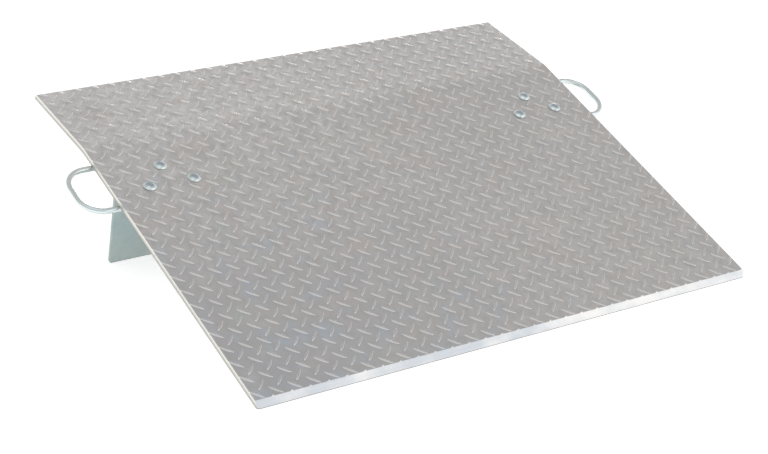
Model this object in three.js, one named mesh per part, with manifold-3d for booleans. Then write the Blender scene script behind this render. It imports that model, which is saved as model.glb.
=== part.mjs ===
// Dock plate: a bent sheet of aluminium tread plate that bridges the gap between a loading
// dock and a vehicle. Under each side edge a steel leg and a rod hand loop are welded to a
// flange plate, and three round-head bolts clamp that flange to the deck.
//
// Millimetres, +Z up. +X runs across the width, the bevelled front edge faces -Y and the
// rear flap faces +Y. The origin is under the middle of the part, on the level surface that
// the front edge and the two leg tips stand on.

import * as THREE from 'three';
import { mergeVertices, toCreasedNormals } from 'three/addons/utils/BufferGeometryUtils.js';
import Module from 'manifold-3d';

// ---------------------------------------------------------------- driving dimensions

// Deck. Depths run along the sheet from the line of the bend to the tip of each bevel.
const DECK_WIDTH = 914.4;
const DECK_THICKNESS = 9.5;
const MAIN_DEPTH = 577;
const FLAP_DEPTH = 185;
const BEND_ANGLE = THREE.MathUtils.degToRad(8.8);
const BEND_INNER_RADIUS = 40;
const BEVEL_LENGTH = 9;
const BEVEL_LIP = 1.5;
const DECK_CORNER = 5;

// Clear gap left wherever one piece touches another.
const JOINT_GAP = 0.3;

// Each bolt group is a triangle: one bolt near the bend and a pair farther forward.
const BOLT_GROUP_INSET = 99;
const BOLT_ROW_REAR = 72;
const BOLT_ROW_FRONT = 113.5;
const BOLT_PAIR_SPACING = 77;

const BOLT_DIAMETER = 9.5;
const BOLT_LENGTH = 31.75;
const BOLT_TIP_CHAMFER = 1.2;
const BOLT_CLEARANCE = 0.35;
const HEAD_DIAMETER = 21.4;
const HEAD_RIM = 0.8;
const HEAD_DOME = 4.4;
const NECK_SIDE = 9.5;
const NECK_DEPTH = 6.5;
const WASHER_DIAMETER = 20.6;
const WASHER_THICKNESS = 1.65;
const NUT_ACROSS_FLATS = 14.3;
const NUT_HEIGHT = 8.3;
const NUT_CHAMFER = 1;

const FLANGE_THICKNESS = 6.35;
const FLANGE_WIDTH = 172;
const FLANGE_DEPTH = 88.9;
const FLANGE_FORWARD = 84;
const FLANGE_CORNER = 6;

const LEG_THICKNESS = 6.35;
const LEG_WIDTH = 172;
const LEG_DEPTH = 146;
const LEG_CORNER = 3;

const ROD_DIAMETER = 9.5;
const HANDLE_REACH = 51.5;
const HANDLE_CORNER_RADIUS = 37;
const HANDLE_INBOARD = 120;

const LEG_WELD_RADIUS = 5;
const LEG_WELD_LENGTH = 160;
const HANDLE_WELD_RADIUS = 3.2;
const HANDLE_WELD_LENGTH = 92;
const HANDLE_WELD_INSET = 68;

// Facets on round surfaces. An arc or circle drawn in a shape gets twice its curve segments.
const BEND_SEGMENTS = 4;
const CORNER_SEGMENTS = 3;
const DOME_SEGMENTS = 5;
const ROUND_SEGMENTS = 24;
const ROD_CURVE_SEGMENTS = 8;
const ROD_STEPS = 64;
const WELD_SEGMENTS = 16;
const WELD_CAP_SEGMENTS = 4;
const SMOOTH_ANGLE = THREE.MathUtils.degToRad(30);

// ---------------------------------------------------------------- derived places

// Heights in the deck frame, where Z = 0 is the top surface of the main face.
const DECK_UNDERSIDE = -DECK_THICKNESS;
const FLANGE_TOP = DECK_UNDERSIDE - JOINT_GAP;
const FLANGE_UNDERSIDE = FLANGE_TOP - FLANGE_THICKNESS;
const ROD_HEIGHT = DECK_UNDERSIDE - JOINT_GAP - ROD_DIAMETER / 2;
const WASHER_TOP = FLANGE_UNDERSIDE - JOINT_GAP;
const NUT_TOP = WASHER_TOP - WASHER_THICKNESS - JOINT_GAP;

const LEG_FORWARD = (BOLT_ROW_REAR + BOLT_ROW_FRONT) / 2;
const FLANGE_FRONT = FLANGE_FORWARD + FLANGE_DEPTH / 2;
const FLANGE_REAR = FLANGE_FORWARD - FLANGE_DEPTH / 2;
const ROD_OFFSET = JOINT_GAP + ROD_DIAMETER / 2;
const HANDLE_FRONT = FLANGE_FRONT + ROD_OFFSET;
const HANDLE_REAR = FLANGE_REAR - ROD_OFFSET;
const BOLT_HOLE_DIAMETER = BOLT_DIAMETER + 2 * BOLT_CLEARANCE;

const SIDES = [
  { name: 'left', sign: -1 },
  { name: 'right', sign: 1 },
];

const BOLT_PLACES = [
  { name: 'rear', across: 0, forward: BOLT_ROW_REAR },
  { name: 'front_outer', across: BOLT_PAIR_SPACING / 2, forward: BOLT_ROW_FRONT },
  { name: 'front_inner', across: -BOLT_PAIR_SPACING / 2, forward: BOLT_ROW_FRONT },
];

// ---------------------------------------------------------------- solids

const wasm = await Module();
wasm.setup();

// A closed geometry as a solid that can be cut and joined.
function solidFrom(geometry) {
  const bare = geometry.clone();
  bare.deleteAttribute('normal');
  bare.deleteAttribute('uv');
  const merged = mergeVertices(bare, 1e-4);
  return new wasm.Manifold(new wasm.Mesh({
    numProp: 3,
    vertProperties: merged.getAttribute('position').array,
    triVerts: new Uint32Array(merged.index.array),
  }));
}

// A solid as a geometry that shades smoothly round curves and sharply over edges.
function geometryFrom(solid) {
  const mesh = solid.getMesh();
  const geometry = new THREE.BufferGeometry();
  geometry.setAttribute('position', new THREE.BufferAttribute(mesh.vertProperties, 3));
  geometry.setIndex(new THREE.BufferAttribute(mesh.triVerts, 1));
  return toCreasedNormals(geometry, SMOOTH_ANGLE);
}

// A shape carried to a depth along +Z, with plain square ends.
function extruded(shape, depth, curveSegments) {
  return new THREE.ExtrudeGeometry(shape, { depth, curveSegments, bevelEnabled: false });
}

// A round bar along X, centred on the origin.
function barAcross(radius, length) {
  return new THREE.CylinderGeometry(radius, radius, length, ROUND_SEGMENTS).rotateZ(Math.PI / 2);
}

function pinDown(diameter, length) {
  const pin = new THREE.CylinderGeometry(diameter / 2, diameter / 2, length, ROUND_SEGMENTS);
  return pin.rotateX(Math.PI / 2);
}

function roundedRectangle(width, height, radius) {
  const x = width / 2;
  const y = height / 2;
  const shape = new THREE.Shape();
  shape.moveTo(-x + radius, -y);
  shape.lineTo(x - radius, -y);
  shape.absarc(x - radius, -y + radius, radius, -Math.PI / 2, 0, false);
  shape.lineTo(x, y - radius);
  shape.absarc(x - radius, y - radius, radius, 0, Math.PI / 2, false);
  shape.lineTo(-x + radius, y);
  shape.absarc(-x + radius, y - radius, radius, Math.PI / 2, Math.PI, false);
  shape.lineTo(-x, -y + radius);
  shape.absarc(-x + radius, -y + radius, radius, Math.PI, 1.5 * Math.PI, false);
  return shape;
}

function boltPlaces(side) {
  return BOLT_PLACES.map((place) => ({
    name: place.name,
    x: side.sign * (DECK_WIDTH / 2 - BOLT_GROUP_INSET + place.across),
    y: -place.forward,
  }));
}

// ---------------------------------------------------------------- deck plate

// The section of the bent sheet, from the front lip over the top and back underneath.
function deckSection() {
  const outerRadius = BEND_INNER_RADIUS + DECK_THICKNESS;
  const tangent = outerRadius * Math.tan(BEND_ANGLE / 2);
  const centreY = -tangent;
  const centreZ = -outerRadius;
  const bendEnd = Math.PI / 2 - BEND_ANGLE;
  const alongFlap = new THREE.Vector2(Math.cos(BEND_ANGLE), -Math.sin(BEND_ANGLE));
  const intoFlap = new THREE.Vector2(-Math.sin(BEND_ANGLE), -Math.cos(BEND_ANGLE));
  const flapPoint = (along, into) => (
    alongFlap.clone().multiplyScalar(along).addScaledVector(intoFlap, into)
  );
  const tipBottom = flapPoint(FLAP_DEPTH, DECK_THICKNESS);
  const tipTop = flapPoint(FLAP_DEPTH, DECK_THICKNESS - BEVEL_LIP);
  const bevelTop = flapPoint(FLAP_DEPTH - BEVEL_LENGTH, 0);

  const section = new THREE.Shape();
  section.moveTo(-MAIN_DEPTH, DECK_UNDERSIDE);
  section.lineTo(centreY, DECK_UNDERSIDE);
  section.absarc(centreY, centreZ, BEND_INNER_RADIUS, Math.PI / 2, bendEnd, true);
  section.lineTo(tipBottom.x, tipBottom.y);
  section.lineTo(tipTop.x, tipTop.y);
  section.lineTo(bevelTop.x, bevelTop.y);
  section.absarc(centreY, centreZ, outerRadius, bendEnd, Math.PI / 2, false);
  section.lineTo(-MAIN_DEPTH + BEVEL_LENGTH, 0);
  section.lineTo(-MAIN_DEPTH, DECK_UNDERSIDE + BEVEL_LIP);
  return section;
}

function deckPlate() {
  // The section is drawn in (Y, Z) and carried along X.
  const sheet = extruded(deckSection(), DECK_WIDTH, BEND_SEGMENTS);
  sheet.translate(0, 0, -DECK_WIDTH / 2);
  sheet.applyMatrix4(new THREE.Matrix4().makeBasis(
    new THREE.Vector3(0, 1, 0),
    new THREE.Vector3(0, 0, 1),
    new THREE.Vector3(1, 0, 0),
  ));
  // Trimming to the outline from above rounds the four corners.
  const tipRise = (DECK_THICKNESS - BEVEL_LIP) * Math.sin(BEND_ANGLE);
  const outlineDepth = MAIN_DEPTH + FLAP_DEPTH * Math.cos(BEND_ANGLE) - tipRise;
  const outline = roundedRectangle(DECK_WIDTH, outlineDepth, DECK_CORNER);
  const trim = extruded(outline, 4 * MAIN_DEPTH, CORNER_SEGMENTS);
  trim.translate(0, outlineDepth / 2 - MAIN_DEPTH, -2 * MAIN_DEPTH);
  let deck = solidFrom(sheet).intersect(solidFrom(trim));

  // Square holes hold the square necks of the bolts.
  const holeSide = NECK_SIDE + 2 * BOLT_CLEARANCE;
  for (const side of SIDES) {
    for (const place of boltPlaces(side)) {
      const hole = new THREE.BoxGeometry(holeSide, holeSide, 4 * DECK_THICKNESS);
      deck = deck.subtract(solidFrom(hole.translate(place.x, place.y, 0)));
    }
  }
  return geometryFrom(deck);
}

// ---------------------------------------------------------------- flange plates

function flangePlate(side) {
  const outline = roundedRectangle(FLANGE_WIDTH, FLANGE_DEPTH, FLANGE_CORNER);
  const blank = extruded(outline, FLANGE_THICKNESS, CORNER_SEGMENTS);
  blank.translate(flangeCentre(side), -FLANGE_FORWARD, FLANGE_UNDERSIDE);
  let flange = solidFrom(blank);
  for (const place of boltPlaces(side)) {
    const hole = pinDown(BOLT_HOLE_DIAMETER, 4 * FLANGE_THICKNESS);
    flange = flange.subtract(solidFrom(hole.translate(place.x, place.y, FLANGE_UNDERSIDE)));
  }
  return geometryFrom(flange);
}

// ---------------------------------------------------------------- legs

// The leg stands square to the rear flap, so in the deck frame it leans forward by the
// bend angle. Its geometry is in the leg frame, whose origin is where the middle of the
// plate meets the underside of the flange.
function legBlank(margin) {
  const reach = (LEG_DEPTH + FLANGE_UNDERSIDE) / Math.cos(BEND_ANGLE);
  const outline = roundedRectangle(LEG_WIDTH + 2 * margin, 2 * (reach + margin), LEG_CORNER + margin);
  const blank = extruded(outline, LEG_THICKNESS + 2 * margin, CORNER_SEGMENTS);
  blank.rotateX(Math.PI / 2);
  return blank.translate(0, LEG_THICKNESS / 2 + margin, 0);
}

function legPlate() {
  // The top is cut parallel to the flange, one gap below it.
  const above = new THREE.BoxGeometry(2 * LEG_WIDTH, 2 * LEG_DEPTH, 2 * LEG_DEPTH);
  above.translate(0, 0, LEG_DEPTH - JOINT_GAP);
  above.rotateX(BEND_ANGLE);
  return geometryFrom(solidFrom(legBlank(0)).subtract(solidFrom(above)));
}

// ---------------------------------------------------------------- hand loops

// A three-sided loop of round rod. It starts under the deck at the rear edge of the
// flange, runs out past the side of the deck, and returns to the front edge.
function handleLoop(side) {
  const endX = side.sign * (DECK_WIDTH / 2 - HANDLE_INBOARD);
  const outerX = side.sign * (DECK_WIDTH / 2 + HANDLE_REACH);
  const cornerX = outerX - side.sign * HANDLE_CORNER_RADIUS;
  const rearY = -HANDLE_REAR;
  const frontY = -HANDLE_FRONT;
  const point = (x, y) => new THREE.Vector3(x, y, ROD_HEIGHT);

  // Control distance with which a cubic curve follows a quarter circle.
  const hold = HANDLE_CORNER_RADIUS * (4 / 3) * (Math.SQRT2 - 1);
  const path = new THREE.CurvePath();
  path.add(new THREE.LineCurve3(point(endX, rearY), point(cornerX, rearY)));
  path.add(new THREE.CubicBezierCurve3(
    point(cornerX, rearY),
    point(cornerX + side.sign * hold, rearY),
    point(outerX, rearY - HANDLE_CORNER_RADIUS + hold),
    point(outerX, rearY - HANDLE_CORNER_RADIUS),
  ));
  path.add(new THREE.LineCurve3(
    point(outerX, rearY - HANDLE_CORNER_RADIUS),
    point(outerX, frontY + HANDLE_CORNER_RADIUS),
  ));
  path.add(new THREE.CubicBezierCurve3(
    point(outerX, frontY + HANDLE_CORNER_RADIUS),
    point(outerX, frontY + HANDLE_CORNER_RADIUS - hold),
    point(cornerX + side.sign * hold, frontY),
    point(cornerX, frontY),
  ));
  path.add(new THREE.LineCurve3(point(cornerX, frontY), point(endX, frontY)));

  const section = new THREE.Shape();
  section.absarc(0, 0, ROD_DIAMETER / 2, 0, 2 * Math.PI, false);
  return new THREE.ExtrudeGeometry(section, {
    steps: ROD_STEPS,
    curveSegments: ROD_CURVE_SEGMENTS,
    extrudePath: path,
  });
}

// ---------------------------------------------------------------- bolts, washers, nuts

// Geometry with its origin under the middle of the head, shank down.
function boltGeometry() {
  const shank = BOLT_DIAMETER / 2;
  const head = HEAD_DIAMETER / 2;
  const domeRadius = (head * head + HEAD_DOME * HEAD_DOME) / (2 * HEAD_DOME);
  const domeAngle = Math.asin(head / domeRadius);
  const dome = Array.from({ length: DOME_SEGMENTS }, (_, i) => {
    const angle = domeAngle * (1 - i / DOME_SEGMENTS);
    const height = HEAD_RIM + HEAD_DOME - domeRadius * (1 - Math.cos(angle));
    return new THREE.Vector2(domeRadius * Math.sin(angle), height);
  });
  const profile = [
    new THREE.Vector2(0, -BOLT_LENGTH),
    new THREE.Vector2(shank - BOLT_TIP_CHAMFER, -BOLT_LENGTH),
    new THREE.Vector2(shank, -BOLT_LENGTH + BOLT_TIP_CHAMFER),
    new THREE.Vector2(shank, 0),
    new THREE.Vector2(head, 0),
    ...dome,
    new THREE.Vector2(0, HEAD_RIM + HEAD_DOME),
  ];
  const turned = new THREE.LatheGeometry(profile, ROUND_SEGMENTS).rotateX(Math.PI / 2);
  const neck = new THREE.BoxGeometry(NECK_SIDE, NECK_SIDE, NECK_DEPTH + HEAD_RIM);
  neck.translate(0, 0, (HEAD_RIM - NECK_DEPTH) / 2);
  return geometryFrom(solidFrom(turned).add(solidFrom(neck)));
}

// Geometry with its origin in the middle of the top face.
function washerGeometry() {
  const ring = new THREE.Shape();
  ring.absarc(0, 0, WASHER_DIAMETER / 2, 0, 2 * Math.PI, false);
  const bore = new THREE.Path();
  bore.absarc(0, 0, BOLT_HOLE_DIAMETER / 2, 0, 2 * Math.PI, true);
  ring.holes.push(bore);
  return extruded(ring, WASHER_THICKNESS, ROUND_SEGMENTS / 2).translate(0, 0, -WASHER_THICKNESS);
}

// A hexagonal prism turned down at its corners and bored, origin in its top face.
function nutGeometry() {
  const cornerRadius = NUT_ACROSS_FLATS / Math.sqrt(3);
  const prism = new THREE.CylinderGeometry(cornerRadius, cornerRadius, NUT_HEIGHT, 6);
  prism.rotateX(Math.PI / 2);
  prism.translate(0, 0, -NUT_HEIGHT / 2);
  const turned = new THREE.LatheGeometry([
    new THREE.Vector2(0, -NUT_HEIGHT),
    new THREE.Vector2(cornerRadius - NUT_CHAMFER, -NUT_HEIGHT),
    new THREE.Vector2(cornerRadius, NUT_CHAMFER * Math.tan(Math.PI / 6) - NUT_HEIGHT),
    new THREE.Vector2(cornerRadius, -NUT_CHAMFER * Math.tan(Math.PI / 6)),
    new THREE.Vector2(cornerRadius - NUT_CHAMFER, 0),
    new THREE.Vector2(0, 0),
  ], ROUND_SEGMENTS).rotateX(Math.PI / 2);
  const bore = pinDown(BOLT_HOLE_DIAMETER, 4 * NUT_HEIGHT);
  return geometryFrom(solidFrom(prism).intersect(solidFrom(turned)).subtract(solidFrom(bore)));
}

// ---------------------------------------------------------------- weld beads

// A round-ended bead along X, kept one gap clear of the two pieces it joins.
function weldBead(radius, length, centre, neighbours) {
  const stick = new THREE.CapsuleGeometry(radius, length - 2 * radius, WELD_CAP_SEGMENTS, WELD_SEGMENTS);
  stick.rotateZ(Math.PI / 2);
  stick.translate(centre.x, centre.y, centre.z);
  let bead = solidFrom(stick);
  for (const neighbour of neighbours) {
    bead = bead.subtract(solidFrom(neighbour));
  }
  return geometryFrom(bead);
}

// The flange as a plain block, one gap larger all round.
function flangeClearance(side) {
  const block = new THREE.BoxGeometry(
    FLANGE_WIDTH + 2 * JOINT_GAP,
    FLANGE_DEPTH + 2 * JOINT_GAP,
    FLANGE_THICKNESS + 2 * JOINT_GAP,
  );
  return block.translate(flangeCentre(side), -FLANGE_FORWARD, FLANGE_UNDERSIDE + FLANGE_THICKNESS / 2);
}

// face is -1 for the front of the leg and 1 for its rear.
function legWeld(side, face) {
  const leg = legBlank(JOINT_GAP);
  leg.rotateX(-BEND_ANGLE);
  leg.translate(flangeCentre(side), -LEG_FORWARD, FLANGE_UNDERSIDE);
  const corner = new THREE.Vector3(
    flangeCentre(side),
    -LEG_FORWARD + face * LEG_THICKNESS / 2,
    FLANGE_UNDERSIDE,
  );
  return weldBead(LEG_WELD_RADIUS, LEG_WELD_LENGTH, corner, [flangeClearance(side), leg]);
}

// end is -1 for the bar at the front of the flange and 1 for the bar at its rear.
function handleWeld(side, end) {
  const barY = end < 0 ? -HANDLE_FRONT : -HANDLE_REAR;
  const edgeY = end < 0 ? -FLANGE_FRONT : -FLANGE_REAR;
  const weldX = side.sign * (DECK_WIDTH / 2 - HANDLE_WELD_INSET);
  const bar = barAcross(ROD_DIAMETER / 2 + JOINT_GAP, 2 * HANDLE_WELD_LENGTH);
  bar.translate(weldX, barY, ROD_HEIGHT);
  const notch = new THREE.Vector3(weldX, edgeY, FLANGE_UNDERSIDE);
  return weldBead(HANDLE_WELD_RADIUS, HANDLE_WELD_LENGTH, notch, [flangeClearance(side), bar]);
}

// ---------------------------------------------------------------- materials

function aluminium() {
  return new THREE.MeshStandardMaterial({ color: 0xaba9a7, roughness: 0.45, metalness: 0.9 });
}

function platedSteel() {
  return new THREE.MeshStandardMaterial({ color: 0xb4c2c0, roughness: 0.35, metalness: 0.9 });
}

function boltSteel() {
  return new THREE.MeshStandardMaterial({ color: 0xbccbd2, roughness: 0.25, metalness: 1 });
}

function weldMetal() {
  return new THREE.MeshStandardMaterial({ color: 0x9ca3a3, roughness: 0.5, metalness: 0.9 });
}

// ---------------------------------------------------------------- assembly

function flangeCentre(side) {
  return side.sign * (DECK_WIDTH / 2 - BOLT_GROUP_INSET);
}

// Leans the deck frame back until the front edge and the leg tips are level.
function standingSlope() {
  const reach = (LEG_DEPTH + FLANGE_UNDERSIDE) / Math.cos(BEND_ANGLE);
  const half = LEG_THICKNESS / 2;
  const tipY = -LEG_FORWARD - reach * Math.sin(BEND_ANGLE) - half * Math.cos(BEND_ANGLE);
  const tipZ = FLANGE_UNDERSIDE - reach * Math.cos(BEND_ANGLE) + half * Math.sin(BEND_ANGLE);
  return Math.atan2(DECK_UNDERSIDE - tipZ, tipY + MAIN_DEPTH);
}

function named(name, geometry, material) {
  const mesh = new THREE.Mesh(geometry, material);
  mesh.name = name;
  return mesh;
}

function fasteners(side) {
  const group = new THREE.Group();
  for (const place of boltPlaces(side)) {
    const label = `${side.name}_${place.name}`;
    const bolt = named(`${label}_bolt`, boltGeometry(), boltSteel());
    const washer = named(`${label}_washer`, washerGeometry(), boltSteel());
    const nut = named(`${label}_nut`, nutGeometry(), boltSteel());
    bolt.position.set(place.x, place.y, JOINT_GAP);
    washer.position.set(place.x, place.y, WASHER_TOP);
    nut.position.set(place.x, place.y, NUT_TOP);
    group.add(bolt, washer, nut);
  }
  return group;
}

function legAndHandle(side) {
  const group = new THREE.Group();
  group.add(named(`${side.name}_flange_plate`, flangePlate(side), platedSteel()));
  group.add(named(`${side.name}_hand_loop`, handleLoop(side), platedSteel()));

  const leg = named(`${side.name}_leg`, legPlate(), platedSteel());
  leg.position.set(flangeCentre(side), -LEG_FORWARD, FLANGE_UNDERSIDE);
  leg.rotation.x = -BEND_ANGLE;
  group.add(leg);

  group.add(named(`${side.name}_leg_front_weld`, legWeld(side, -1), weldMetal()));
  group.add(named(`${side.name}_leg_rear_weld`, legWeld(side, 1), weldMetal()));
  group.add(named(`${side.name}_loop_front_weld`, handleWeld(side, -1), weldMetal()));
  group.add(named(`${side.name}_loop_rear_weld`, handleWeld(side, 1), weldMetal()));
  return group;
}

// Moves a sloping assembly so that it stands at Z = 0 with the middle of its base at the origin.
function standOnOrigin(assembly) {
  const box = new THREE.Box3().setFromObject(assembly, true);
  const middle = box.getCenter(new THREE.Vector3());
  assembly.position.set(-middle.x, -middle.y, -box.min.z);
}

const deckFrame = new THREE.Group();
deckFrame.rotation.x = standingSlope();
deckFrame.add(named('deck_plate', deckPlate(), aluminium()));
for (const side of SIDES) {
  deckFrame.add(legAndHandle(side), fasteners(side));
}
standOnOrigin(deckFrame);

const dockPlate = new THREE.Group();
dockPlate.add(deckFrame);

export default dockPlate;
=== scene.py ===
"""Looks of a dock plate: a bent sheet of aluminium tread plate on two bolted steel legs.

Every piece is built as a mesh where the CAD node it stands for lies.
"""
import math

import bmesh
import bpy
from mathutils import Matrix, Vector, geometry


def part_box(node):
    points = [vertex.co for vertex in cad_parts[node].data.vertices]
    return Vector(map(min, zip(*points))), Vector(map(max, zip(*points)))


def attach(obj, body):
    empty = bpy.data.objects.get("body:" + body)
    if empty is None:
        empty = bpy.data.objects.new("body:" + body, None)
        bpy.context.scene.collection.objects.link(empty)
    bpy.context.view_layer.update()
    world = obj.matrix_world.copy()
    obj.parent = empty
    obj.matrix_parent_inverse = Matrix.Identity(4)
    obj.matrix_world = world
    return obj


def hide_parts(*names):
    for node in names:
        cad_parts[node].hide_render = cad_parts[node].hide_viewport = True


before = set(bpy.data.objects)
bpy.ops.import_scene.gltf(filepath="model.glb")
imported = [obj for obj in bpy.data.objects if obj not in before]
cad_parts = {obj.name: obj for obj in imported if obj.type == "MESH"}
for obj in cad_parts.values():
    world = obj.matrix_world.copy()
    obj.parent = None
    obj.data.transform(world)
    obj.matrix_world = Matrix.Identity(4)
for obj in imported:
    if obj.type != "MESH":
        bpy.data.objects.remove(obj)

# ------------------------------------------------------------------ sizes, in metres

# Deck. Distances forward run along the sheet from the bend, and are negative on the rear flap.
THICKNESS = 0.0095
MAIN_DEPTH = 0.577
FLAP_DEPTH = 0.185
BEND = math.radians(8.8)
BEND_INNER_RADIUS = 0.040
BEVEL_LENGTH = 0.009
BEVEL_LIP = 0.0015
DECK_CORNER = 0.005
SIDE_EDGE = 0.0004
CORNER_STEPS = 6
BEND_STRIPS = 6
# About the length of the cells that the side walls and bevels are cut into.
CELL = 0.015

# Tread pattern: two raised lugs in each square period, leaning opposite ways.
PERIODS_ACROSS = 30
LUG_LENGTH = 0.0244
LUG_WIDTH = 0.0050
LUG_HEIGHT = 0.0015
LUG_STATIONS = 7
# Shape of a lug's outline: 0.5 would be an ellipse and 1 a parabola.
LUG_POWER = 0.7
# Share of a lug's length, width and height at each ring, from its base up.
LUG_RINGS = ((1.0, 1.0, 0.0), (0.95, 0.82, 0.48), (0.86, 0.50, 0.90))
# How much lower the rings and the crest are at a lug's tips, as a share of its height.
RING_FALL = 0.15
CREST_FALL = 0.1
CREST_LENGTH = 0.72
# The two kinds: a lug's place in its period, across and forward, and the lean of its length.
LUG_KINDS = ((0.25, 0.32, -1), (0.75, 0.82, 1))
# A lug that reaches less than this inside the sheet's edge is left out.
LEAST_REACH = 0.0015
SEAT_MARGIN = 0.0012
SHORTEST_LUG = 0.004
# Width of a lug cut short, as a share of the full one: a least part and a gain with its length.
CUT_LUG_WIDTH = 0.1
CUT_LUG_GAIN = 2.2

# Bolts, washers and nuts.
BOLT_RADIUS = 0.00475
BOLT_LENGTH = 0.03175
BOLT_TIP = 0.0012
BOLT_COLUMNS = 32
HEAD_RADIUS = 0.0107
HEAD_RIM = 0.0008
HEAD_UNDERCUT = 0.0003
HEAD_DOME = 0.0044
DOME_STEPS = 16
NECK_HALF = 0.00475
NECK_DEPTH = 0.0065
NECK_TAPER = 0.001
THREAD_PITCH = 0.0015875
THREAD_DEPTH = 0.0009
THREAD_LENGTH = 0.0185
THREAD_STEPS = 8
# The thread is a triangle wave made steeper and then cut off, for flat crests and roots.
THREAD_GAIN = 1.25
THREAD_CREST = 0.12
HOLE_RADIUS = 0.0051
WASHER_RADIUS = 0.0103
WASHER_THICKNESS = 0.00165
WASHER_EDGE = 0.0003
NUT_HALF_FLATS = 0.00715
NUT_HEIGHT = 0.0083
NUT_BORE_CHAMFER = 0.0006
# Radius of the nut's flat face as a share of half its width across the flats.
NUT_FACE = 0.96
NUT_CHAMFER_SLOPE = math.tan(math.radians(30))
RING_COLUMNS = 48

# Flanges and legs.
FLANGE_SIZE = (0.172, 0.0889, 0.00635)
FLANGE_CORNER = 0.006
LEG_WIDTH = 0.172
LEG_THICKNESS = 0.00635
LEG_CORNER = 0.003
PLATE_EDGE = 0.0006
# Inset of the middle line of a rounded plate edge, as a share of its radius.
EDGE_MIDDLE = 0.3
PLATE_CORNER_STEPS = 8
HOLE_COLUMNS = 24
# Clear gap between a piece and the next one.
JOINT_GAP = 0.0003

# Hand loops.
ROD_RADIUS = 0.00475
LOOP_BEND_RADIUS = 0.037
LOOP_BEND_STEPS = 24
LOOP_STRAIGHT = 0.1
ROD_COLUMNS = 28
ROD_END = 0.0008

# Weld beads.
LEG_WELD_RADIUS = 0.005
LOOP_WELD_RADIUS = 0.0032
LOOP_WELD_LEAN = math.radians(25)
WELD_PITCH = 0.0042
WELD_RIPPLE = 0.09
# Ripples are deepest in the middle of the section, as half a wave from this share of it.
WELD_TOE = 0.1
WELD_SPOKES = 12
WELD_STEPS = 5
# Least share of a bead's radius squared that is left at its two ends.
WELD_END = 0.02

# Angles in degrees above which two faces of a piece meet in a sharp edge.
PLATE_SMOOTHING = 35
ROD_SMOOTHING = 50
WELD_SMOOTHING = 60
FASTENER_SMOOTHING = 32

# Distances below which two points of a mesh count as one.
CUT_TOLERANCE = 1e-8
FILL_TOLERANCE = 1e-9
# What geometry.delaunay_2d_cdt gives: only the triangles inside an outline.
FILL_INSIDE = 1

# ------------------------------------------------------------------ places, from the frame


def middle(node):
    """The centre of a CAD node's box."""
    low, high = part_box(node)
    return (low + high) / 2


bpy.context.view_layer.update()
DECK_LOW, DECK_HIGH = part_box("deck_plate")
HALF_WIDTH = (DECK_HIGH.x - DECK_LOW.x) / 2
PERIOD = 2 * HALF_WIDTH / PERIODS_ACROSS

# The washers lie in one plane parallel to the main face, so two of them give its slope.
rear_washer = middle("left_rear_washer")
front_washer = middle("left_front_outer_washer")
SLOPE = math.atan2(rear_washer.z - front_washer.z, rear_washer.y - front_washer.y)

# The deck frame has the top of the main face at Z = 0 and the bend along X at Y = 0.
TURN = Matrix.Rotation(SLOPE, 4, "X")
lip_top = TURN @ Vector((0, -MAIN_DEPTH, BEVEL_LIP - THICKNESS))
lip_bottom = TURN @ Vector((0, -MAIN_DEPTH, -THICKNESS))
DECK_FRAME = Matrix.Translation((0, DECK_LOW.y - lip_top.y, DECK_LOW.z - lip_bottom.z)) @ TURN
TO_DECK = DECK_FRAME.inverted()

SIDES = (("left", -1), ("right", 1))
BOLTS = ("rear", "front_outer", "front_inner")

FLANGE_TOP = -THICKNESS - JOINT_GAP
FLANGE_BOTTOM = FLANGE_TOP - FLANGE_SIZE[2]
ROD_HEIGHT = FLANGE_TOP - ROD_RADIUS
WASHER_TOP = FLANGE_BOTTOM - JOINT_GAP
NUT_TOP = WASHER_TOP - WASHER_THICKNESS - JOINT_GAP


def bolt_axis(side, bolt):
    """Where a bolt goes through the deck, in the deck frame."""
    return (TO_DECK @ middle(f"{side}_{bolt}_washer")).to_2d()


# ------------------------------------------------------------------ mesh helpers


def make_piece(name, bm, materials, smooth_angle=None, matrix=DECK_FRAME):
    """Turns a bmesh into an object. Faces that meet above smooth_angle keep a sharp edge.

    Without smooth_angle each face keeps the shading that it was given.
    """
    bmesh.ops.transform(bm, matrix=matrix, verts=bm.verts)
    bmesh.ops.recalc_face_normals(bm, faces=bm.faces)
    mesh = bpy.data.meshes.new(name)
    if smooth_angle is not None:
        for face in bm.faces:
            face.smooth = True
    bm.to_mesh(mesh)
    bm.free()
    if smooth_angle is not None:
        mesh.set_sharp_from_angle(angle=math.radians(smooth_angle))
    for material in materials:
        mesh.materials.append(material)
    obj = bpy.data.objects.new(name, mesh)
    bpy.context.scene.collection.objects.link(obj)
    return obj


def stand_for(obj, node):
    """Shows obj in place of a CAD node."""
    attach(obj, "root")
    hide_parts(node)


def bridge(bm, first, second):
    """Quads between two closed rings of the same length."""
    for i in range(len(first)):
        j = (i + 1) % len(first)
        bm.faces.new((first[i], first[j], second[j], second[i]))


def skin(bm, rings, closed=False):
    """Walls from ring to ring. closed joins the last to the first, or else both ends are capped."""
    for first, second in zip(rings, rings[1:]):
        bridge(bm, first, second)
    if closed:
        bridge(bm, rings[-1], rings[0])
    else:
        bm.faces.new(rings[0])
        bm.faces.new(rings[-1])


def bridge_rows(bm, first, second):
    """Quads between two open rows of the same length."""
    quads = zip(first, first[1:], second[1:], second)
    return [bm.faces.new(quad) for quad in quads]


def arc(centre, radius, start, end, steps):
    """Points on an arc, both ends included; angles in degrees."""
    for i in range(steps + 1):
        angle = math.radians(start + (end - start) * i / steps)
        yield Vector((centre[0] + radius * math.cos(angle), centre[1] + radius * math.sin(angle)))


# ------------------------------------------------------------------ deck plate

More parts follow.
